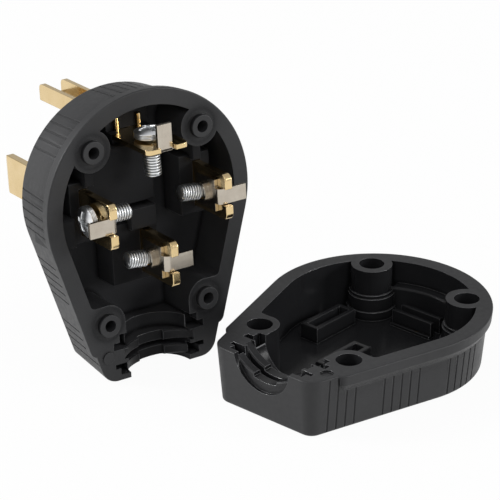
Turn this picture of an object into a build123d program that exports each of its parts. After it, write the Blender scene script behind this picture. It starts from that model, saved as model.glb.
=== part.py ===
from build123d import *
from math import atan2, cos, degrees, radians, sin, tan
import os

# Four-blade angle plug, opened: the body stands on its cable end and the cover lies beside it, hollow up.
# Millimetres. Each half has its own frame: x across, y away from the cable end, z out of the parting face,
# with the datum at the centre of the round top, on the parting face.

# Outline of both halves at the parting face
wall_radius = 30.55       # round top of the plain wall
end_distance = 49.5       # datum to the cable end
side_taper = 16.5         # degrees that each straight side runs in
end_corner = 5.0          # round between a side and the cable end
draft = 5.0               # degrees that every outer wall runs in with depth
edge_round = 1.0          # round along the outer edge of the back
rim_round = 0.4           # round along the outer edge of the parting face
block_round = 0.3         # round along the top of ribs, holders, collars and stops

# Smooth band that stands proud along the parting face and stops short of the cable end
band_proud = 1.2
band_depth = 3.0
band_slope = 2.2
band_end = 41.0
band_corner = 2.5

# Depths and walls
body_depth = 20.0
cover_depth = 17.2
side_wall = 3.5           # plain wall at the parting face
blade_wall = 6.5          # wall that the blades pass through
cover_floor = 2.2
cavity_end = 26.6         # datum to where the hollow ends beside the lower bosses
cavity_corner = 1.5

# Grip grooves in the plain wall, in groups
groove_width = 0.55
groove_depth = 0.2
groove_pitch = 2.85
groove_margin = 0.6       # plain wall left at both ends of a groove
round_groups = ((0.0, 5), (45.0, 5), (90.0, 5), (135.0, 5), (180.0, 5))  # degrees round the top, grooves
side_groups = ((12.8, 5), (32.1, 4))  # distance down each straight side, grooves

# Bosses for the four cover screws
upper_boss = (17.0, 18.0)
lower_boss = (15.75, -32.0)
boss_radius = 5.9
lower_boss_radius = 5.5
collar_radius = 3.3
collar_height = 1.5
collar_clearance = 0.3
pilot_radius = 1.7
pilot_depth = 14.0
shank_radius = 2.3        # clearance hole for a cover screw
screw_head_radius = 3.1   # counterbore for its head
collar_socket = 4.0       # depth of the socket for a collar
head_socket = 5.0         # depth of the counterbore

# Cord mouth: a round channel with two shallow grip ribs, half in each half
mouth_start = 36.5        # datum to where the hollow ends between the lower bosses
channel_radius = 10.0
lip_radius = 9.6
lip_rise = 0.6            # the lip's arc is centred this far out of the parting face
rib_radius = 14.4
rib_rise = 9.2            # the ribs' arcs are centred this far out of the parting face
inner_rib = (40.6, 43.4)  # start and end of each rib, from the datum
outer_rib = (45.1, 47.8)
rib_middle = 8.0          # width of the lower middle of each rib
rib_step = 1.0            # how much lower it is

# Clamp slots in the land on both sides of the mouth
slot_depth = 4.5
slot_inside = 9.8         # from the middle to the near end of each slot
inner_slot = (35.8, 40.3, 12.5)   # start, end, and reach from the middle
inner_slot_step = (38.2, 40.3, 14.4)
outer_slot = (44.5, 47.7, 12.6)
outer_slot_step = (44.5, 45.8, 14.2)

# Locating peg on the land and its socket in the cover
peg_place = (-16.3, -41.8)
peg_radius = 1.7
peg_height = 0.4
peg_clearance = 0.15

# Blades and terminals
hot_x = 18.0
neutral_y = -15.0
ground_y = 18.0           # middle of the ground terminal plate
blade_width = 11.3
blade_thickness = 2.3
hot_reach = 27.1          # beyond the blade face
ground_reach = 31.5
tip_corner = 1.6
tip_bevel = 0.5
blade_round = 0.25        # round along the edges of a blade's faces
tip_bevel_length = 1.4
fork_width = 13.0
fork_gap = 4.8
fork_gap_depth = 5.0
fork_corner = 1.8
fork_reach = 11.7         # beyond the parting face
screw_forward = 2.2       # terminal screw axis beyond the parting face
terminal_hole_radius = 2.6
blade_clearance = 0.12    # around a blade in its slot

# Ground blade: a U of two legs on the terminal plate
ground_thickness = 1.3
ground_width = 8.3
ground_height = 4.9
ground_inner_end = 9.0    # legs end this far behind the parting face
ground_shoulder = 7.0     # the wide plate ends this far behind the parting face
ground_recess = 10.2      # the seat is this far behind the parting face beside the legs
leg_round = 0.5           # round along the edges of the legs' inner ends

# Blade holders inside the body
holder_top = 4.6          # below the parting face
holder_head_side = 4.2    # from the blade's middle to the holder's face beside the screw head
holder_thread_side = {"left_hot": 9.2, "right_hot": 5.6, "neutral": 10.4}
holder_half_length = 8.6
ledge_end = -1.2          # lower edge of the ledge below the ground terminal
rib_top = 2.3             # below the parting face
boss_rib = 2.6            # width of the ribs below the upper bosses
boss_rib_end = 7.5
wall_rib_end = -0.5       # upper edge of the rib between the left hot holder and the wall
divider_low = (-5.0, -8.0)
divider_high = (3.0, -2.0)

# Clip: a plate on the thread side, with a strip bent through the fork
clip_thickness = 1.0
clip_height = 9.0
clip_behind = 3.6         # behind the screw axis
clip_ahead = 5.6          # ahead of the screw axis
clip_strip = 4.4
clip_strip_front = 7.8    # front face of the bent strip, ahead of the screw axis
clip_tab_reach = 6.5      # from the blade's middle
clip_bend = 0.6
clip_gap = 0.05
clip_hole_radius = 2.05
clip_collar_radius = 2.8  # collar round the hole, on the thread side
clip_collar = 1.2

# Terminal screw
thread_radius = 2.35
neck_radius = 1.75
neck_beyond_clip = 1.8
screw_tip = 9.8           # from the blade's middle
screw_head = 4.25         # radius
screw_head_height = 2.7
screw_dome = 1.5          # height of the domed part of the head
screw_point = 0.35        # chamfer at the screw's end
screw_head_gap = 0.7      # a slack screw stands off the blade
recess_width = 1.1
recess_length = 5.4
recess_depth = 1.1
screw_lean = {"left_hot": 0.0, "right_hot": -7.0, "neutral": -7.0, "ground": 2.0}

# Terminal stops inside the cover
stop_top = 10.4           # below the parting face
stop_wall = 1.5
stop_clearance = 0.4
ground_stop_clearance = 0.65   # the ground plate is thinner than its stop's room
stop_foot = 0.8           # width and height of the foot along the ground stop
boss_step = 0.4
boss_steps = (7.5, 8.5, 12.4)     # depths at which the upper bosses widen
shelf_top = 6.8
shelf_width = 3.3
shelf_half_length = 12.5
shelf_round = 0.8

# How the two halves rest on the floor
body_place = (-27.15, 5.06)
cover_place = (27.15, -26.44)
cover_turn = -74.8

body_plane = Plane(
    (body_place[0], body_place[1], end_distance * cos(radians(draft))),
    x_dir=(1, 0, 0),
    z_dir=(0, -cos(radians(draft)), sin(radians(draft))),
)
cover_plane = Plane(
    (cover_place[0], cover_place[1], cover_depth),
    x_dir=(cos(radians(cover_turn)), sin(radians(cover_turn)), 0),
    z_dir=(0, 0, 1),
)
body_hollow = body_depth - blade_wall
cover_hollow = cover_depth - cover_floor
draft_slope = tan(radians(draft))
both_sides = (-1, 1)
bosses = [(side * x, y) for x, y in (upper_boss, lower_boss) for side in both_sides]
upper_bosses, lower_bosses = bosses[:2], bosses[2:]


def within(base, origin, x_dir, z_dir):
    # A plane given in the frame of another one
    return Plane(base.location * Plane(origin, x_dir=x_dir, z_dir=z_dir).location)


def save(part, name):
    part.label = name
    export_step(part, f"parts/{name}.step")


def plug_outline(radius, end, corner):
    # Round top, straight sides that run in, and a flat cable end with round corners
    taper = radians(side_taper)
    half_end = (radius - end * sin(taper)) / cos(taper)
    with BuildSketch() as outline:
        with BuildLine():
            top = CenterArc((0, 0), radius, -side_taper, 180 + 2 * side_taper)
            FilletPolyline(top @ 1, (-half_end, -end), (half_end, -end), top @ 0, radius=corner)
        make_face()
    return outline.sketch


def groove_steps(count):
    # Distances of a group's grooves from its middle
    return [groove_pitch * (i - (count - 1) / 2) for i in range(count)]


def groove_places():
    # Point on the parting-face outline and direction outwards, in degrees, for each grip groove
    places = []
    for middle, count in round_groups:
        for step in groove_steps(count):
            angle = middle + degrees(step / wall_radius)
            across = wall_radius * cos(radians(angle))
            places.append((across, wall_radius * sin(radians(angle)), angle))
    taper = radians(side_taper)
    for middle, count in side_groups:
        for step in groove_steps(count):
            down = middle + step
            across = wall_radius * cos(taper) - down * sin(taper)
            up = -wall_radius * sin(taper) - down * cos(taper)
            places.append((across, up, -side_taper))
            places.append((-across, up, 180 + side_taper))
    return places


def groove_planes(base, middle, places):
    # Planes flat against the drafted wall, at the middle of each groove
    inset = middle * draft_slope
    planes = []
    for across, up, angle in places:
        out_x, out_y = cos(radians(angle)), sin(radians(angle))
        origin = (across - out_x * inset, up - out_y * inset, -middle)
        outwards = (out_x * cos(radians(draft)), out_y * cos(radians(draft)), -sin(radians(draft)))
        planes.append(within(base, origin, (-out_y, out_x, 0), outwards))
    return planes


def groove_form(base, depth):
    # Every grip groove of one half: from the band to the back, or from near the rim past the band's end
    last_beside = band_corner - band_end
    beside_band = [place for place in groove_places() if place[1] > last_beside]
    past_band = [place for place in groove_places() if place[1] <= last_beside]
    end = depth - groove_margin
    with BuildPart() as form:
        for start, places in ((band_depth + band_slope, beside_band), (groove_margin, past_band)):
            with BuildSketch(*groove_planes(base, (start + end) / 2, places)):
                Rectangle(groove_width, end - start)
            extrude(amount=groove_depth, both=True)
    return form.part


def outer_form(base, depth):
    # Drafted wall, rounded back edge and proud band along the parting face
    band_inset = band_depth * draft_slope
    band_run_in = degrees(atan2(band_proud + draft_slope * band_slope, band_slope))
    with BuildPart() as form:
        with BuildSketch(base):
            add(plug_outline(wall_radius, end_distance, end_corner))
        extrude(amount=-depth, taper=draft)
        back = form.faces().sort_by(Axis(base.origin, base.z_dir))[0]
        fillet(back.edges(), edge_round)
        with BuildSketch(base):
            add(plug_outline(wall_radius + band_proud, band_end, band_corner))
        extrude(amount=-band_depth, taper=draft)
        with BuildSketch(base.offset(-band_depth)):
            add(plug_outline(wall_radius + band_proud - band_inset, band_end - band_inset, band_corner))
        extrude(amount=-band_slope, taper=band_run_in)
        front = form.faces().sort_by(Axis(base.origin, base.z_dir))[-1]
        fillet(front.edges(), rim_round)
    return form.part


def hollow_form(base, depth):
    # Inside of one half, leaving the bosses standing
    across, up = lower_boss
    with BuildPart() as form:
        with BuildSketch(base):
            add(plug_outline(wall_radius - side_wall, cavity_end, cavity_corner))
            with Locations((0, up / 2)):
                Rectangle(2 * across, -up)
            with Locations((0, -mouth_start / 2)):
                Rectangle(2 * (across - lower_boss_radius), mouth_start)
            with Locations(*upper_bosses):
                Circle(boss_radius, mode=Mode.SUBTRACT)
            with Locations(*lower_bosses):
                Circle(lower_boss_radius, mode=Mode.SUBTRACT)
        extrude(amount=-depth)
    return form.part


def mouth_form(base):
    # Round channel with two shallow ribs across it, and clamp slots in the land beside it
    ribs = (inner_rib, outer_rib)
    channel = ((mouth_start - 1, inner_rib[0]), (inner_rib[1], outer_rib[0]))
    lip = (outer_rib[1], end_distance + 1)
    spans = [(start, end, channel_radius, 0) for start, end in channel]
    spans += [(start, end, rib_radius, rib_rise) for start, end in ribs]
    spans.append((*lip, lip_radius, lip_rise))
    with BuildPart() as form:
        for start, end, radius, rise in spans:
            with BuildSketch(within(base, (0, -start, rise), (1, 0, 0), (0, -1, 0))):
                Circle(radius)
            extrude(amount=end - start)
        for start, end in ribs:
            # Chamfered edges and the lower middle of a rib
            for edge, way in ((start, -1), (end, 1)):
                with BuildSketch(within(base, (0, -edge, rib_rise), (1, 0, 0), (0, way, 0))):
                    Circle(rib_radius + block_round)
                extrude(amount=block_round, taper=45)
            with BuildSketch(within(base, (0, -start, rib_rise), (1, 0, 0), (0, -1, 0))):
                Circle(rib_radius + rib_step)
                Rectangle(rib_middle, 4 * rib_radius, mode=Mode.INTERSECT)
            extrude(amount=end - start)
        with BuildSketch(base):
            for start, end, reach in (inner_slot, inner_slot_step, outer_slot, outer_slot_step):
                middle = (slot_inside + reach) / 2
                with Locations(*[(side * middle, -(start + end) / 2) for side in both_sides]):
                    Rectangle(reach - slot_inside, end - start)
        extrude(amount=-slot_depth)
    return form.part


def top_edges(form, base):
    # Edges of the faces that lie furthest out of the parting face
    return form.faces().group_by(Axis(base.origin, base.z_dir))[-1].edges()


def raised_block(base, floor, top, low, high):
    # Block on the floor of a hollow, between two corners, with its top edges rounded
    with BuildPart() as block:
        with BuildSketch(base.offset(-floor)):
            with Locations(((low[0] + high[0]) / 2, (low[1] + high[1]) / 2)):
                Rectangle(high[0] - low[0], high[1] - low[1])
        extrude(amount=floor - top)
        fillet(top_edges(block, base), block_round)
    return block.part


def collar_form():
    # Collars round the pilot holes, on the parting face
    with BuildPart() as form:
        with BuildSketch(body_plane):
            with Locations(*bosses):
                Circle(collar_radius)
        extrude(amount=collar_height)
        fillet(top_edges(form, body_plane), block_round)
    return form.part


def stop_form():
    # Frames and bars on the cover's floor that take the tips of the forks
    room = blade_thickness + 2 * stop_clearance
    length = fork_width + 2 * stop_clearance
    ground_room = ground_thickness + 2 * ground_stop_clearance
    with BuildPart() as form:
        with BuildSketch(cover_plane.offset(-cover_hollow)):
            with Locations((-hot_x, 0), (hot_x, 0), (0, neutral_y)):
                Rectangle(room + 2 * stop_wall, length + 2 * stop_wall)
                Rectangle(room, length, mode=Mode.SUBTRACT)
            with Locations((0, ground_y)):
                Rectangle(length, ground_room + 2 * stop_wall)
                Rectangle(length, ground_room, mode=Mode.SUBTRACT)
        extrude(amount=cover_hollow - stop_top)
        fillet(top_edges(form, cover_plane), block_round)
    return form.part


def foot_form():
    # Foot along the outer side of the ground stop
    half_length = fork_width / 2 + stop_clearance
    side = ground_y - ground_thickness / 2 - ground_stop_clearance - stop_wall
    low = (-half_length, side - stop_foot)
    return raised_block(cover_plane, cover_hollow, cover_hollow - stop_foot, low, (half_length, side))


def shelf_form():
    # Shelf along the cover's wall between the upper bosses
    with BuildPart() as form:
        with BuildSketch(cover_plane.offset(-cover_hollow)):
            Circle(wall_radius - side_wall / 2)
            Circle(wall_radius - side_wall - shelf_width, mode=Mode.SUBTRACT)
            with Locations((0, wall_radius)):
                Rectangle(2 * shelf_half_length, wall_radius, mode=Mode.INTERSECT)
        extrude(amount=cover_hollow - shelf_top)
        fillet(top_edges(form, cover_plane), shelf_round)
    return form.part


# Terminal frames in the body: x forward, z towards the screw head, at the screw axis in the blade's middle
terminals = {
    "left_hot": within(body_plane, (-hot_x, 0, screw_forward), (0, 0, 1), (-1, 0, 0)),
    "right_hot": within(body_plane, (hot_x, 0, screw_forward), (0, 0, 1), (1, 0, 0)),
    "neutral": within(body_plane, (0, neutral_y, screw_forward), (0, 0, 1), (1, 0, 0)),
    "ground": within(body_plane, (0, ground_y, screw_forward), (0, 0, 1), (0, 1, 0)),
}
flat_blades = ("left_hot", "right_hot", "neutral")
thickness = {name: blade_thickness for name in flat_blades}
thickness["ground"] = ground_thickness
fork_front = fork_reach - screw_forward
wall_inside = -screw_forward - body_hollow
wall_outside = -screw_forward - body_depth


def holder_block(name):
    # Holder that stands beside a flat blade, longer on the thread side
    terminal = terminals[name]
    ends = [terminal.location * Location((0, 0, z)) for z in (-holder_thread_side[name], holder_head_side)]
    corners = [body_plane.to_local_coords(end.position) for end in ends]
    low_x, high_x = sorted(corner.X for corner in corners)
    middle_y = corners[0].Y
    low = (low_x, middle_y - holder_half_length)
    high = (high_x, middle_y + holder_half_length)
    return raised_block(body_plane, body_hollow, holder_top, low, high)


def blade_slot(name):
    # Slot for a flat blade: narrow through the blade wall, wide in the holder
    room = blade_thickness + 2 * blade_clearance
    with BuildPart() as slot:
        with BuildSketch(terminals[name].offset(-room / 2)):
            with Locations((wall_inside - blade_wall / 2, 0)):
                Rectangle(2 * blade_wall, blade_width + 2 * blade_clearance)
            with Locations((wall_inside + body_hollow / 2, 0)):
                Rectangle(body_hollow, fork_width + 2 * blade_clearance)
        extrude(amount=room)
    return slot.part


def ground_form(clearance, start, end):
    # U of the ground blade between two distances along its terminal frame, grown by a clearance
    section_plane = within(terminals["ground"], (start, 0, 0), (0, 1, 0), (1, 0, 0))
    foot = -ground_thickness / 2 - clearance
    height = ground_height + 2 * clearance
    gap = ground_width - 2 * ground_thickness - 2 * clearance
    with BuildPart() as form:
        with BuildSketch(section_plane):
            with Locations((0, foot + height / 2)):
                Rectangle(ground_width + 2 * clearance, height)
            with Locations((0, ground_thickness / 2 + clearance + height / 2)):
                Rectangle(gap, height, mode=Mode.SUBTRACT)
        extrude(amount=end - start)
    return form.part


# Body
body_shell = outer_form(body_plane, body_depth)
body_room = hollow_form(body_plane, body_hollow)
body_mouth = mouth_form(body_plane)
holders = [holder_block(name) for name in flat_blades]
slots = [blade_slot(name) for name in flat_blades]
ground_seat_low = ground_y - ground_thickness / 2 - blade_clearance
ground_seat_high = ground_seat_low + ground_height + 2 * blade_clearance + stop_wall
ledge = raised_block(
    body_plane, body_hollow, holder_top,
    (-upper_boss[0], ledge_end), (ground_width / 2, ground_seat_low - stop_wall),
)
ground_seat = raised_block(
    body_plane, body_hollow, ground_shoulder,
    (-fork_width / 2, ground_seat_low - stop_wall), (fork_width / 2, ground_seat_high),
)
leg_room = raised_block(
    body_plane, ground_recess, ground_shoulder - 1,
    (-fork_width / 2 - 1, ground_y + ground_thickness / 2), (fork_width / 2 + 1, ground_seat_high + 1),
)
ground_slot = ground_form(blade_clearance, -screw_forward - ground_shoulder, wall_outside - 1)
boss_ribs = [
    raised_block(
        body_plane, body_hollow, rib_top,
        (x - boss_rib / 2, boss_rib_end), (x + boss_rib / 2, y - collar_radius),
    )
    for x, y in upper_bosses
]
wall_rib = raised_block(
    body_plane, body_hollow, rib_top,
    (-wall_radius + side_wall / 2, -holder_half_length), (-hot_x - holder_head_side, wall_rib_end),
)
divider = raised_block(body_plane, body_hollow, rib_top, divider_low, divider_high)

with BuildPart() as body:
    add(body_shell)
    add(body_room, mode=Mode.SUBTRACT)
    add([*holders, *boss_ribs, ledge, ground_seat, wall_rib, divider])
    add([*slots, leg_room, ground_slot, body_mouth], mode=Mode.SUBTRACT)
    add(collar_form())
    with BuildSketch(body_plane):
        with Locations(peg_place):
            Circle(peg_radius)
    extrude(amount=peg_height)
    with BuildSketch(body_plane.offset(collar_height)):
        with Locations(*bosses):
            Circle(pilot_radius)
    extrude(amount=-pilot_depth, mode=Mode.SUBTRACT)
    add(groove_form(body_plane, body_depth), mode=Mode.SUBTRACT)

# Cover
cover_shell = outer_form(cover_plane, cover_depth)
cover_room = hollow_form(cover_plane, cover_hollow)
cover_mouth = mouth_form(cover_plane)

with BuildPart() as cover:
    add(cover_shell)
    add(cover_room, mode=Mode.SUBTRACT)
    # Upper bosses widen in steps towards the floor
    for count, depth in enumerate(boss_steps, start=1):
        with BuildSketch(cover_plane.offset(-depth)):
            with Locations(*upper_bosses):
                Circle(boss_radius + count * boss_step)
            add(plug_outline(wall_radius - side_wall, cavity_end, cavity_corner), mode=Mode.INTERSECT)
        extrude(amount=depth - cover_hollow)
    add([shelf_form(), stop_form(), foot_form()])
    add(cover_mouth, mode=Mode.SUBTRACT)
    with BuildSketch(cover_plane):
        with Locations(*bosses):
            Circle(collar_radius + collar_clearance)
    extrude(amount=-collar_socket, mode=Mode.SUBTRACT)
    with BuildSketch(cover_plane):
        with Locations(*bosses):
            Circle(shank_radius)
    extrude(amount=-cover_depth, mode=Mode.SUBTRACT)
    with BuildSketch(cover_plane.offset(-cover_depth)):
        with Locations(*bosses):
            Circle(screw_head_radius)
    extrude(amount=head_socket, mode=Mode.SUBTRACT)
    with BuildSketch(cover_plane):
        with Locations((-peg_place[0], peg_place[1])):
            Circle(peg_radius + peg_clearance)
    extrude(amount=-peg_height - peg_clearance, mode=Mode.SUBTRACT)
    add(groove_form(cover_plane, cover_depth), mode=Mode.SUBTRACT)


# Blades
def fork_outline(back, width):
    # Terminal plate seen along the screw: forked in front, with a hole for the screw
    with BuildSketch() as plate:
        with Locations(((fork_front + back) / 2, 0)):
            Rectangle(fork_front - back, width)
        corners = plate.vertices().group_by(Axis.X)[-1]
        fillet(corners, fork_corner)
        with Locations((fork_front - fork_gap_depth / 2, 0)):
            Rectangle(fork_gap_depth, fork_gap, mode=Mode.SUBTRACT)
        Circle(terminal_hole_radius, mode=Mode.SUBTRACT)
    return plate.sketch


def flat_blade(name):
    # Forked plate in the holder, shoulders on the blade wall, and the narrower blade beyond it
    terminal = terminals[name]
    tip = wall_outside - hot_reach
    side = within(terminal, (tip, blade_width / 2, 0), (1, 0, 0), (0, -1, 0))
    with BuildPart() as blade:
        with BuildSketch(terminal.offset(-blade_thickness / 2)) as outline:
            with Locations(((tip + wall_inside) / 2, 0)):
                Rectangle(wall_inside - tip, blade_width)
            fillet(outline.vertices().group_by(Axis.X)[0], tip_corner)
            add(fork_outline(wall_inside, fork_width))
        extrude(amount=blade_thickness)
        faces = blade.faces().sort_by(Axis(terminal.origin, terminal.z_dir))
        fillet(faces[0].edges() + faces[-1].edges(), blade_round)
        with BuildSketch(side):
            for face in both_sides:
                edge = face * blade_thickness / 2
                with BuildLine():
                    Polyline((0, edge), (tip_bevel_length, edge), (0, edge - face * tip_bevel), close=True)
                make_face()
        extrude(amount=blade_width, mode=Mode.SUBTRACT)
    return blade.part


def make_ground_blade():
    # Forked plate, a narrow neck, and the U with both legs on the screw head's side
    terminal = terminals["ground"]
    shoulder = -screw_forward - ground_shoulder
    inner_end = -screw_forward - ground_inner_end
    legs = ground_form(0, inner_end, wall_outside - ground_reach)
    along = Axis(terminal.origin, terminal.x_dir)
    with BuildPart() as blade:
        add(legs)
        leg_ends = blade.edges().filter_by(Axis(terminal.origin, terminal.y_dir)).group_by(along)[0]
        leg_corners = leg_ends.group_by(Axis(terminal.origin, terminal.z_dir))[-1]
        fillet(leg_corners, tip_corner)
        upright = blade.edges().filter_by(Axis(terminal.origin, terminal.z_dir))
        fillet(upright.group_by(along)[-1], leg_round)
        with BuildSketch(terminal.offset(-ground_thickness / 2)):
            add(fork_outline(shoulder, fork_width))
            with Locations(((shoulder + inner_end - leg_round) / 2, 0)):
                Rectangle(shoulder - inner_end + leg_round, ground_width)
        extrude(amount=ground_thickness)
    return blade.part


def clip(name):
    # Plate on the thread side with a collar round its hole, and a strip bent forward through the fork
    terminal = terminals[name]
    under = thickness[name] / 2 + clip_gap
    side = within(terminal, (0, clip_strip / 2, 0), (1, 0, 0), (0, -1, 0))
    plate_middle = -under - clip_thickness / 2
    strip_middle = clip_strip_front - clip_thickness / 2
    with BuildPart() as plate:
        with BuildSketch(side):
            with BuildLine():
                FilletPolyline(
                    (-clip_behind, plate_middle), (strip_middle, plate_middle),
                    (strip_middle, clip_tab_reach), radius=clip_bend + clip_thickness / 2,
                )
            trace(line_width=clip_thickness)
        extrude(amount=clip_strip)
        with BuildSketch(terminal.offset(-under)):
            with Locations(((clip_ahead - clip_behind) / 2, 0)):
                Rectangle(clip_ahead + clip_behind, clip_height)
        extrude(amount=-clip_thickness)
        with BuildSketch(terminal.offset(-under)):
            Circle(clip_collar_radius)
        extrude(amount=-clip_thickness - clip_collar)
        with BuildSketch(terminal.offset(-under)):
            Circle(clip_hole_radius)
        extrude(amount=-clip_thickness - clip_collar, mode=Mode.SUBTRACT)
    return plate.part


def terminal_screw(name):
    # Slack screw held by the clip: domed head with a cross recess, plain neck and threaded end
    half = thickness[name] / 2
    lean = radians(screw_lean[name])
    pivot = half + clip_gap + clip_thickness / 2
    axis_plane = within(terminals[name], (0, 0, -pivot), (1, 0, 0), (0, -sin(lean), cos(lean)))
    side = within(axis_plane, (0, 0, pivot), (1, 0, 0), (0, -1, 0))
    under = half + screw_head_gap
    rim = under + screw_head_height - screw_dome
    top = under + screw_head_height
    dome_radius = (screw_head**2 + screw_dome**2) / (2 * screw_dome)
    neck_end = -half - clip_gap - clip_thickness - neck_beyond_clip
    with BuildPart() as screw:
        with BuildSketch(side):
            with BuildLine():
                dome = RadiusArc((0, top), (screw_head, rim), dome_radius)
                Polyline(
                    dome @ 1, (screw_head, under), (neck_radius, under), (neck_radius, neck_end),
                    (thread_radius, neck_end), (thread_radius, screw_point - screw_tip),
                    (thread_radius - screw_point, -screw_tip), (0, -screw_tip), dome @ 0,
                )
            make_face()
        revolve(axis=Axis(axis_plane.origin, axis_plane.z_dir))
        with BuildSketch(axis_plane.offset(pivot + top)):
            Rectangle(recess_length, recess_width)
            Rectangle(recess_width, recess_length)
        extrude(amount=-recess_depth, mode=Mode.SUBTRACT)
    return screw.part


os.makedirs("parts", exist_ok=True)
save(body.part, "body")
save(cover.part, "cover")
for name in flat_blades:
    save(flat_blade(name), f"{name}_blade")
save(make_ground_blade(), "ground_blade")
for name in terminals:
    save(clip(name), f"{name}_clip")
    save(terminal_screw(name), f"{name}_screw")
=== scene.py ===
from math import cos, pi, radians, sin

import bpy
import numpy as np
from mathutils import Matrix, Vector


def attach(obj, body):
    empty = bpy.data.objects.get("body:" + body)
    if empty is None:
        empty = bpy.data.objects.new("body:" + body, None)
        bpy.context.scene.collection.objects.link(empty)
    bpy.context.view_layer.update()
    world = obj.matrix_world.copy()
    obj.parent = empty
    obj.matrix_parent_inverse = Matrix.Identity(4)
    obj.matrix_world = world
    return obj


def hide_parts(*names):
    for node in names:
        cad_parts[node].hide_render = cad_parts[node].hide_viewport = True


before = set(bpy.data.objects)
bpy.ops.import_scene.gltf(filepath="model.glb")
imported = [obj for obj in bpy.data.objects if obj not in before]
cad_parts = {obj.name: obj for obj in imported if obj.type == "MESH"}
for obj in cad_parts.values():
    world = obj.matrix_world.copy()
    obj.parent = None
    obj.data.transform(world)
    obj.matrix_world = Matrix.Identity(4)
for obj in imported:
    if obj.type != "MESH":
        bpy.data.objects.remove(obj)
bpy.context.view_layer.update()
scene = bpy.context.scene
scene.view_settings.view_transform = "Standard"
mm = 0.001
print("frame loaded with", len(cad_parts), "nodes")


# camera

cameraSettings = {
    "target": (1.24 * mm, -0.94 * mm, 29.77 * mm),  # what the middle of the picture shows
    "heading": 33.3,  # degrees that the sight line turns to the right of straight ahead
    "dip": 25.31,  # degrees that it looks down
    "distance": 710.8 * mm,
    "lens": 184.2, "sensor": 36,  # focal length and picture width, in millimetres
    "clip": (0.05, 20),  # nearest and farthest that is seen
}


def sightLine(settings):
    # unit vector: heading turns it about the upright, dip lowers it
    turn, dip = radians(settings["heading"]), radians(settings["dip"])
    return Vector((sin(turn) * cos(dip), cos(turn) * cos(dip), -sin(dip)))


def placeCamera(settings):
    data = bpy.data.cameras.new("plugCamera")
    data.lens = settings["lens"]
    data.sensor_width = settings["sensor"]
    data.clip_start, data.clip_end = settings["clip"]
    camera = bpy.data.objects.new("plugCamera", data)
    camera.location = Vector(settings["target"]) - sightLine(settings) * settings["distance"]
    camera.rotation_euler = (radians(90 - settings["dip"]), 0, -radians(settings["heading"]))
    scene.collection.objects.link(camera)
    scene.camera = camera


placeCamera(cameraSettings)
print("camera placed")


# mesh helpers

def turnAngles(columns):
    return np.linspace(0, 2 * pi, columns, endpoint=False)


def gridFaces(rows, columns):
    # quads between neighbouring rows, closed round the columns
    row, column = np.meshgrid(np.arange(rows - 1), np.arange(columns), indexing="ij")
    onward = (column + 1) % columns
    quads = np.stack([row * columns + column, row * columns + onward,
                      (row + 1) * columns + onward, (row + 1) * columns + column], -1)
    return quads.reshape(-1, 4)


def closedSurface(name, points, startPole, endPole):
    # a grid of rows closed round its columns, with a fan of triangles to a pole at each end
    rows, columns = points.shape[:2]
    vertices = np.concatenate([points.reshape(-1, 3), [startPole, endPole]])
    first, last = len(vertices) - 2, len(vertices) - 1
    column = np.arange(columns)
    onward = (column + 1) % columns
    tail = (rows - 1) * columns
    startFan = np.stack([np.full(columns, first), onward, column], -1)
    endFan = np.stack([np.full(columns, last), tail + column, tail + onward], -1)
    faces = gridFaces(rows, columns).tolist() + startFan.tolist() + endFan.tolist()
    mesh = bpy.data.meshes.new(name)
    mesh.from_pydata(vertices.tolist(), [], faces)
    mesh.polygons.foreach_set("use_smooth", np.ones(len(faces), bool))
    mesh.update()
    piece = bpy.data.objects.new(name, mesh)
    scene.collection.objects.link(piece)
    return piece


# node helpers

noiseMiddle = (0.3, 0.7)  # where most values of a noise lie
edgeSamples, skySamples = 6, 12  # of the nodes that feel for edges and for open sky


def newMaterial(name):
    material = bpy.data.materials.new(name)
    material.use_nodes = True
    material.node_tree.nodes.clear()
    return material, material.node_tree


def addNode(tree, kind, inputs=None, **values):
    # inputs take either a value or another node's output socket
    node = tree.nodes.new(kind)
    for key, value in values.items():
        setattr(node, key, value)
    for key, value in (inputs or {}).items():
        if isinstance(value, bpy.types.NodeSocket):
            tree.links.new(value, node.inputs[key])
        else:
            node.inputs[key].default_value = value
    return node


def calculate(tree, operation, first, second):
    return addNode(tree, "ShaderNodeMath", {0: first, 1: second}, operation=operation).outputs[0]


def dotProduct(tree, first, second):
    made = addNode(tree, "ShaderNodeVectorMath", {0: first, 1: second}, operation="DOT_PRODUCT")
    return made.outputs["Value"]


def ranged(tree, value, span, low=0.0, high=1.0):
    # carries a span of values onto low to high, and keeps to these beyond it
    made = addNode(tree, "ShaderNodeMapRange", {"Value": value, "From Min": span[0], "From Max": span[1],
                                                "To Min": low, "To Max": high})
    return made.outputs["Result"]


def objectPoint(tree, stretch=(1, 1, 1)):
    # object coordinates, stretched so that a pattern runs along the piece
    place = addNode(tree, "ShaderNodeTexCoord").outputs["Object"]
    return addNode(tree, "ShaderNodeMapping", {"Vector": place, "Scale": stretch}).outputs["Vector"]


def noise(tree, vector, scale, detail, roughness):
    made = addNode(tree, "ShaderNodeTexNoise",
                   {"Vector": vector, "Scale": scale, "Detail": detail, "Roughness": roughness})
    return made.outputs["Fac"]


def blendValue(tree, factor, low, high):
    return addNode(tree, "ShaderNodeMix", {0: factor, 2: low, 3: high}).outputs[0]


def blendColour(tree, factor, low, high):
    made = addNode(tree, "ShaderNodeMix", data_type="RGBA")
    for socket, value in ((made.inputs[0], factor), (made.inputs[6], low), (made.inputs[7], high)):
        if isinstance(value, bpy.types.NodeSocket):
            tree.links.new(value, socket)
        else:
            socket.default_value = (*value, 1.0)
    return made.outputs[2]


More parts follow.
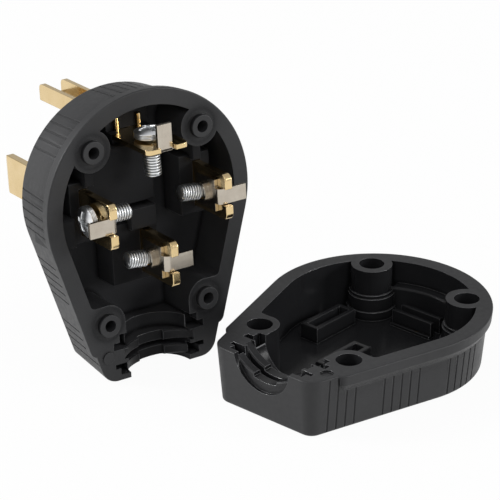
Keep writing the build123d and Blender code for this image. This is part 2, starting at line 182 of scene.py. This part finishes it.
def grainedNormal(tree, height, strength, distance, edge):
    # edges rounded by the light alone, with a fine relief on top
    soft = addNode(tree, "ShaderNodeBevel", {"Radius": edge}, samples=edgeSamples).outputs["Normal"]
    bump = addNode(tree, "ShaderNodeBump", {"Strength": strength, "Distance": distance, "Height": height,
                                            "Normal": soft})
    return soft, bump.outputs["Normal"]


# moulded plastic

bodySettings = {
    "deep": (0.0330, 0.0333, 0.0352), "raised": (0.0135, 0.0136, 0.0144),  # linear colours in the hollow: painted light and painted shade, picked by how much open sky each face has
    "outside": (0.0192, 0.0195, 0.0206),  # the plastic's colour on the open faces
    "innerEdgeHighlight": (0.120, 0.122, 0.128), "outerEdgeHighlight": (0.040, 0.041, 0.044),  # painted highlights along the convex edges, in the hollow and outside
    "insideRoughness": (0.30, 0.40), "outsideRoughness": (0.44, 0.54),
    "specular": (0.06, 0.36), "edgeSpecular": (0.80, 0.36),  # inside and outside
    "hollow": 55 * mm, "groove": 1.5 * mm,  # how far a wall shelters a hollow, and a groove
    "leastOpen": 0.05,  # keeps the deepest corners from dividing by nothing
    "raisedOpen": (0.32, 0.68), "outsideOpen": (0.90, 0.985),  # open sky where each begins, and is full
    "creaseShadeOpen": (0.60, 0.95), "creaseShadeTone": 0.5,  # painted shade: grooves and corners are darker
    "front": (0.0, -0.9962, 0.0872), "frontPlace": -0.743 * mm,  # the parting face: its way and its place
    "sunk": (1.3 * mm, 0.6 * mm),  # blocks this far behind it take the hollow's painted shade
    "frontLook": (0.80, 0.95),  # how nearly such a block's face looks the same way
    "edge": 0.25 * mm,  # softness of moulded edges
    "edgeTurn": (0.99, 0.80), "edgeShare": 0.9,  # bend at which the painted edge highlight begins and is full
    "edgeOpen": (0.72, 0.92),  # leaves the concave corners out
    "flow": (55, 3.0, 0.5), "flowTone": (0.86, 1.14),  # noises: scale per metre, detail, roughness
    "patch": (700, 2.0, 0.5),
    "grain": (5200, 3.0, 0.6), "grainHeight": 0.010 * mm, "grainStrength": 0.4,
}
coverSettings = {
    **bodySettings,  # the cover's hollow is glossier, with its own painted shade and painted edge highlight
    "deep": (0.0150, 0.0152, 0.0163), "raised": (0.0120, 0.0122, 0.0130),
    "insideRoughness": (0.17, 0.25), "specular": (0.20, 0.36), "innerEdgeHighlight": (0.240, 0.243, 0.250),
    "edgeOpen": (0.45, 0.72), "front": (0.0, 0.0, 1.0), "frontPlace": 17.2 * mm,
}


def openSky(tree, reach):
    # share of the sky that the piece's own walls leave open within reach
    made = addNode(tree, "ShaderNodeAmbientOcclusion", {"Distance": reach}, samples=skySamples,
                   only_local=True)
    return made.outputs["AO"]


def sunkFaces(tree, point, flat, settings):
    # 1 on faces that look the way of the parting face but lie behind it, 0 elsewhere
    span = [settings["frontPlace"] - depth for depth in settings["sunk"]]
    behind = ranged(tree, dotProduct(tree, point, settings["front"]), span, 1.0, 0.0)
    looking = ranged(tree, dotProduct(tree, flat, settings["front"]), settings["frontLook"])
    return calculate(tree, "MULTIPLY", behind, looking)


def mouldedPlastic(name, settings):
    material, tree = newMaterial(name)
    point = objectPoint(tree)
    flat = addNode(tree, "ShaderNodeNewGeometry").outputs["Normal"]
    soft, normal = grainedNormal(tree, noise(tree, point, *settings["grain"]), settings["grainStrength"],
                                 settings["grainHeight"], settings["edge"])

    # what far walls leave open, out of what near ones do, so that grip grooves count as outside
    near = openSky(tree, settings["groove"])
    share = calculate(tree, "DIVIDE", openSky(tree, settings["hollow"]),
                      calculate(tree, "MAXIMUM", near, settings["leastOpen"]))
    # sunk faces are kept from the outside colour, so that they take the hollow's painted shade
    proud = calculate(tree, "SUBTRACT", 1.0, sunkFaces(tree, point, flat, settings))
    outside = calculate(tree, "MULTIPLY", ranged(tree, share, settings["outsideOpen"]), proud)

    # plain colour: painted light and painted shade in the hollow by its open sky, clouded by the flow of the
    # plastic, with painted shade in creases
    raised = ranged(tree, share, settings["raisedOpen"])
    inside = blendColour(tree, raised, settings["deep"], settings["raised"])
    plain = blendColour(tree, outside, inside, settings["outside"])
    cloud = ranged(tree, noise(tree, point, *settings["flow"]), noiseMiddle, *settings["flowTone"])
    # painted shade in grooves and corners, where the near walls leave little sky open
    creaseShade = ranged(tree, near, settings["creaseShadeOpen"], settings["creaseShadeTone"])
    tone = calculate(tree, "MULTIPLY", cloud, creaseShade)
    base = addNode(tree, "ShaderNodeVectorMath", {0: plain, "Scale": tone}, operation="SCALE")

    # convex edges get a painted highlight: paler colour, and glossier
    bent = ranged(tree, dotProduct(tree, soft, flat), settings["edgeTurn"], 0.0, settings["edgeShare"])
    edge = calculate(tree, "MULTIPLY", bent, ranged(tree, near, settings["edgeOpen"]))
    edgeHighlight = blendColour(tree, outside, settings["innerEdgeHighlight"], settings["outerEdgeHighlight"])
    colour = blendColour(tree, edge, base.outputs["Vector"], edgeHighlight)
    plainGloss = blendValue(tree, outside, *settings["specular"])
    gloss = blendValue(tree, edge, plainGloss, blendValue(tree, outside, *settings["edgeSpecular"]))

    patch = noise(tree, point, *settings["patch"])
    rough = blendValue(tree, outside, ranged(tree, patch, noiseMiddle, *settings["insideRoughness"]),
                       ranged(tree, patch, noiseMiddle, *settings["outsideRoughness"]))
    shader = addNode(tree, "ShaderNodeBsdfPrincipled", {"Base Color": colour, "Roughness": rough,
                                                        "Normal": normal, "Specular IOR Level": gloss})
    addNode(tree, "ShaderNodeOutputMaterial", {"Surface": shader.outputs["BSDF"]})
    return material


# metals

metalSettings = {
    "polishedBrass": {
        "deep": (0.72, 0.54, 0.27), "pale": (0.79, 0.61, 0.34), "roughness": (0.12, 0.22),
        "streak": (2600, 90, 2600), "streakHeight": 0.0006 * mm, "edge": 0.2 * mm,
    },
    "zincPlate": {
        "deep": (0.90, 0.93, 0.95), "pale": (0.97, 0.98, 0.985), "roughness": (0.27, 0.37),
        "root": (0.38, 0.39, 0.39),  # painted shade in the roots of a thread and in recesses
        "streak": (900, 900, 900), "streakHeight": 0.0004 * mm, "edge": 0.06 * mm,
    },
    "satinSteel": {
        "deep": (0.465, 0.415, 0.345), "pale": (0.56, 0.51, 0.435), "roughness": (0.17, 0.27),
        "streak": (1500, 260, 1500), "streakHeight": 0.0008 * mm, "edge": 0.1 * mm,
    },
}
patternSettings = {  # alike on every metal
    "stain": (170, 4.0, 0.6), "streak": (1.0, 3.0, 0.6),  # noises: scale, detail, roughness
    "streakStrength": 0.6,
}


def platedMetal(name, settings, pattern):
    material, tree = newMaterial(name)
    lines = noise(tree, objectPoint(tree, settings["streak"]), *pattern["streak"])
    tone = ranged(tree, noise(tree, objectPoint(tree), *pattern["stain"]), noiseMiddle)
    colour = blendColour(tree, tone, settings["deep"], settings["pale"])
    if "root" in settings:
        # painted shade in thread roots, the head's grooves and the cross recess, read from the piece's proud
        # attribute
        proud = addNode(tree, "ShaderNodeAttribute", attribute_name="proud").outputs["Fac"]
        colour = blendColour(tree, proud, settings["root"], colour)
    rough = ranged(tree, lines, noiseMiddle, *settings["roughness"])
    normal = grainedNormal(tree, lines, pattern["streakStrength"], settings["streakHeight"],
                           settings["edge"])[1]
    shader = addNode(tree, "ShaderNodeBsdfPrincipled",
                     {"Base Color": colour, "Roughness": rough, "Metallic": 1.0, "Normal": normal})
    addNode(tree, "ShaderNodeOutputMaterial", {"Surface": shader.outputs["BSDF"]})
    return material


finishes = {name: platedMetal(name, settings, patternSettings) for name, settings in metalSettings.items()}
finishes["bodyBlack"] = mouldedPlastic("bodyBlack", bodySettings)
finishes["coverBlack"] = mouldedPlastic("coverBlack", coverSettings)
finishOf = {"body": "bodyBlack", "cover": "coverBlack", "blade": "polishedBrass",
            "clip": "satinSteel", "screw": "zincPlate"}  # by the last word of a node's name
for nodeName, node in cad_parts.items():
    node.data.materials.clear()
    node.data.materials.append(finishes[finishOf[nodeName.split("_")[-1]]])
print("finishes given to the solids")


# terminal screws with rolled threads, each in place of its plain solid

screwSettings = {  # metres; what is not here is read from the plain solid
    "headHeight": 2.7 * mm, "dome": 1.1 * mm, "headEdge": 0.25 * mm,
    "recessWidth": 1.3 * mm, "recessLength": 5.6 * mm, "recessDepth": 1.2 * mm,
    "recessSoft": 0.1 * mm, "recessSlope": 0.5 * mm,  # softness of its edges, and slope at the arms' ends
    "rings": (0.45 * mm, 0.85 * mm, 1.25 * mm),  # heights of the grooves round the head, from below
    "ringWidth": 0.09 * mm, "ringDepth": 0.2 * mm,
    "neck": 1.75 * mm, "fillet": 0.35 * mm, "runOut": 0.5 * mm,  # the fillet is as long as the run-out
    "threadDepth": 0.49 * mm, "pitch": 0.79 * mm, "point": 0.35 * mm,
    "flankSlope": 2.35, "rootFlat": 0.55,  # shape of the thread's wave
    "neckTone": 0.6,  # between the colours of a root and of a crest, so the neck takes part of the painted root shade
    "headShare": 0.98, "neckShare": 1.03, "step": 0.01 * mm,  # limits for reading the solid
    "columns": 192, "domeRows": 120, "rimRows": 39, "edgeRows": 6, "neckRows": 24, "threadRows": 230,
    "firstRow": 0.01,  # radius of the row next to the pole, as a share of the head's
}


def turnedSolid(name):
    # a turned solid's points lie evenly round its axis, so their spread is the same both ways across it and
    # another along it: gives a point on the axis, its direction towards the wide end, and each point's
    # place along it and distance from it
    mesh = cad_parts[name].data
    points = np.empty(3 * len(mesh.vertices))
    mesh.vertices.foreach_get("co", points)
    points = np.unique(points.reshape(-1, 3).round(6), axis=0)  # to a thousandth of a millimetre
    centre = points.mean(0)
    spread, ways = np.linalg.eigh(np.cov((points - centre).T))
    axis = ways[:, np.argmax(np.abs(spread - np.median(spread)))]
    along = (points - centre) @ axis
    away = np.linalg.norm(points - centre - along[:, None] * axis, axis=1)
    if along[np.argmax(away)] < 0:
        axis, along = -axis, -along
    return centre, axis, along, away


def smoothStep(value, low, high):
    t = np.clip((value - low) / (high - low), 0, 1)
    return t * t * (3 - 2 * t)


def crossRecess(x, y, settings):
    # 1 inside a cross of two arms and 0 outside it, by smooth steps across and along each arm
    wide, long = settings["recessWidth"] / 2, settings["recessLength"] / 2
    soft, slope = settings["recessSoft"], settings["recessSlope"]
    arms = [(1 - smoothStep(side, wide - soft, wide + soft))
            * (1 - smoothStep(out, long - slope, long + soft)) for side, out in ((x, y), (y, x))]
    return np.maximum(*arms)


def headRows(settings, head, under):
    # rows over the domed head: a spherical cap, lowered inside a cross, then a rim with bell-shaped grooves
    # round it and a rounded lower edge
    angle = turnAngles(settings["columns"])
    dome, edge = settings["dome"], settings["headEdge"]
    rim = under + settings["headHeight"] - dome
    ball = (head ** 2 + dome ** 2) / (2 * dome)
    shares = np.linspace(settings["firstRow"], 1.0, settings["domeRows"])
    radius = shares[:, None] * head * np.ones_like(angle)
    recess = crossRecess(np.abs(radius * np.cos(angle)), np.abs(radius * np.sin(angle)), settings)
    height = rim + dome - ball + np.sqrt(ball ** 2 - radius ** 2) - settings["recessDepth"] * recess
    wall = np.linspace(rim, under + edge, settings["rimRows"] + 1)[1:, None] * np.ones_like(angle)
    groove = sum(np.exp(-((wall - under - ring) / settings["ringWidth"]) ** 2) for ring in settings["rings"])
    bend = np.linspace(0, pi / 2, settings["edgeRows"] + 1)[1:, None] * np.ones_like(angle)
    radius = np.concatenate([radius, head - settings["ringDepth"] * groove,
                             head - edge + edge * np.cos(bend)])
    # full painted root shade in the cross and the grooves, none on the cap and the rounded edge
    proud = np.concatenate([1 - recess, 1 - groove, np.ones_like(bend)])
    return radius, np.concatenate([height, wall, under + edge - edge * np.sin(bend)]), proud


def shankRows(settings, thread, under, neckEnd, tip):
    # rows down the neck and thread: the thread's radius is a flat-topped wave that climbs one pitch in a
    # turn, cut by a cone at the tip
    angle = turnAngles(settings["columns"])
    run = settings["runOut"]
    down = np.linspace(neckEnd, tip, settings["threadRows"])[:, None] * np.ones_like(angle)
    turns = (down / settings["pitch"] + angle / (2 * pi)) % 1.0
    wave = np.clip(settings["flankSlope"] * np.abs(2 * turns - 1) - settings["rootFlat"], 0, 1)
    growth = smoothStep(neckEnd - down, 0.0, run)
    radius = thread - settings["threadDepth"] * (1 - wave * growth)
    radius = np.minimum(radius, thread - settings["point"] + down - tip)
    neckDown = np.linspace(under, neckEnd, settings["neckRows"])[:, None] * np.ones_like(angle)
    neckRadius = settings["neck"] + settings["fillet"] * (1 - smoothStep(under - neckDown, 0.0, run))
    # part of the painted root shade on the neck, all of it in the thread's roots
    proud = np.concatenate([np.full_like(neckDown, settings["neckTone"]), wave])
    return np.concatenate([neckRadius, radius]), np.concatenate([neckDown, down]), proud


def terminalScrew(name, settings):
    centre, axis, along, away = turnedSolid(name + "_screw")
    tip, under = along.min(), along[away > settings["headShare"] * away.max()].min()
    below = along < under - settings["step"]
    neckEnd = along[below & (away < settings["neckShare"] * settings["neck"])].min()
    thread = away[below].max()
    front = np.array([0.0, -1.0, 0.0])  # one arm of the recess is turned this way
    forward = front - front @ axis * axis
    forward = forward / np.linalg.norm(forward)
    side = np.cross(axis, forward)
    rows = zip(headRows(settings, away.max(), under), shankRows(settings, thread, under, neckEnd, tip))
    radius, height, proud = (np.concatenate(part) for part in rows)
    angle = turnAngles(settings["columns"])
    points = (centre + height[..., None] * axis + (radius * np.cos(angle))[..., None] * forward
              + (radius * np.sin(angle))[..., None] * side)
    top, end = centre + height[0].mean() * axis, centre + tip * axis
    piece = closedSurface(name + "_threadedScrew", points, top, end)
    shade = piece.data.attributes.new("proud", "FLOAT", "POINT")  # 0 in roots and recesses, 1 on crests: where the painted root shade goes
    shade.data.foreach_set("value", np.concatenate([proud.ravel(), [0.0, 1.0]]).astype(np.float32))
    piece.data.materials.append(finishes["zincPlate"])
    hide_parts(name + "_screw")
    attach(piece, "root")
    print(piece.name, "has a head of radius", round(away.max(), 5), "and a thread of", round(thread, 5),
          "its neck ends", round(under - neckEnd, 5), "below the head, its tip", round(under - tip, 5))


for terminal in ("left_hot", "right_hot", "neutral", "ground"):
    terminalScrew(terminal, screwSettings)
print("threaded screws made")


# floor

floorSettings = {
    "radius": 3.0, "below": 0.0, "colour": (0.66, 0.66, 0.66),
    "white": 0.955,  # share of plain white in what the camera and reflections see
    "rings": 39, "columns": 96,
}


def floorFinish(settings):
    material, tree = newMaterial("paleFloor")
    matte = addNode(tree, "ShaderNodeBsdfDiffuse", {"Color": (*settings["colour"], 1.0)})
    bright = addNode(tree, "ShaderNodeEmission", {"Color": (1, 1, 1, 1), "Strength": 1.0})
    path = addNode(tree, "ShaderNodeLightPath").outputs
    seen = calculate(tree, "MAXIMUM", path["Is Camera Ray"], path["Is Glossy Ray"])
    seen = calculate(tree, "MAXIMUM", seen, path["Is Transmission Ray"])
    share = calculate(tree, "MULTIPLY", seen, settings["white"])
    mixed = addNode(tree, "ShaderNodeMixShader", {0: share, 1: matte.outputs[0], 2: bright.outputs[0]})
    addNode(tree, "ShaderNodeOutputMaterial", {"Surface": mixed.outputs[0]})
    return material


def paleFloor(settings):
    # a flat disc: rings round its middle, whose radius grows with the square of their number
    rings, columns = settings["rings"], settings["columns"]
    ring = settings["radius"] * np.linspace(0.0, 1.0, rings + 1)[1:, None] ** 2
    angle = turnAngles(columns)[None, :]
    level = np.full((rings, columns), settings["below"])
    points = np.stack([ring * np.cos(angle), ring * np.sin(angle), level], -1)
    vertices = np.concatenate([points.reshape(-1, 3), [[0, 0, settings["below"]]]])
    column = np.arange(columns)
    fan = np.stack([np.full(columns, len(vertices) - 1), column, (column + 1) % columns], -1)
    faces = gridFaces(rings, columns)[:, ::-1].tolist() + fan.tolist()
    mesh = bpy.data.meshes.new("paleFloor")
    mesh.from_pydata(vertices.tolist(), [], faces)
    floor = bpy.data.objects.new("paleFloor", mesh)
    scene.collection.objects.link(floor)
    mesh.materials.append(floorFinish(settings))


# world and lamps

worldSettings = {
    "bright": (0.68, 0.68, 0.69), "dim": (0.18, 0.18, 0.19),  # towards the window side and away from it
    "window": (-0.60, -0.42, 0.68), "windowSpread": (-0.8, 0.8),
    "sheet": (0.55, 0.55, 0.55),  # a white sheet hung behind the plug
    "sheetSide": (0.50, 0.76, 0.42), "sheetSpread": (0.80, 0.95),
}
lampSettings = {
    "leftLamp": {"place": (-1.05, 0.75, 0.75), "size": (0.45, 0.6), "watts": 19.0},
    "rightLamp": {"place": (1.05, -1.0, 0.5), "size": (0.5, 0.5), "watts": 11.5},
    "topLamp": {"place": (-0.1, -0.75, 1.2), "size": (0.6, 0.4), "watts": 2.0},
}
lampAim = (0.0, 0.0, 40 * mm)


def studioWorld(settings):
    room = bpy.data.worlds.new("studioWorld")
    room.use_nodes = True
    tree = room.node_tree
    way = addNode(tree, "ShaderNodeTexCoord").outputs["Generated"]
    lit = ranged(tree, dotProduct(tree, way, settings["window"]), settings["windowSpread"])
    tone = blendColour(tree, lit, settings["dim"], settings["bright"])
    hung = ranged(tree, dotProduct(tree, way, settings["sheetSide"]), settings["sheetSpread"])
    tone = blendColour(tree, hung, tone, settings["sheet"])
    tree.links.new(tone, tree.nodes["Background"].inputs["Color"])
    scene.world = room


def softLamp(name, settings):
    data = bpy.data.lights.new(name, "AREA")
    data.shape = "RECTANGLE"
    data.size, data.size_y = settings["size"]
    data.energy = settings["watts"]
    lamp = bpy.data.objects.new(name, data)
    lamp.location = settings["place"]
    towards = Vector(lampAim) - lamp.location
    lamp.rotation_euler = towards.to_track_quat("-Z", "Y").to_euler()
    scene.collection.objects.link(lamp)


paleFloor(floorSettings)
studioWorld(worldSettings)
for lampName, settings in lampSettings.items():
    softLamp(lampName, settings)
print("floor, world and lamps placed")
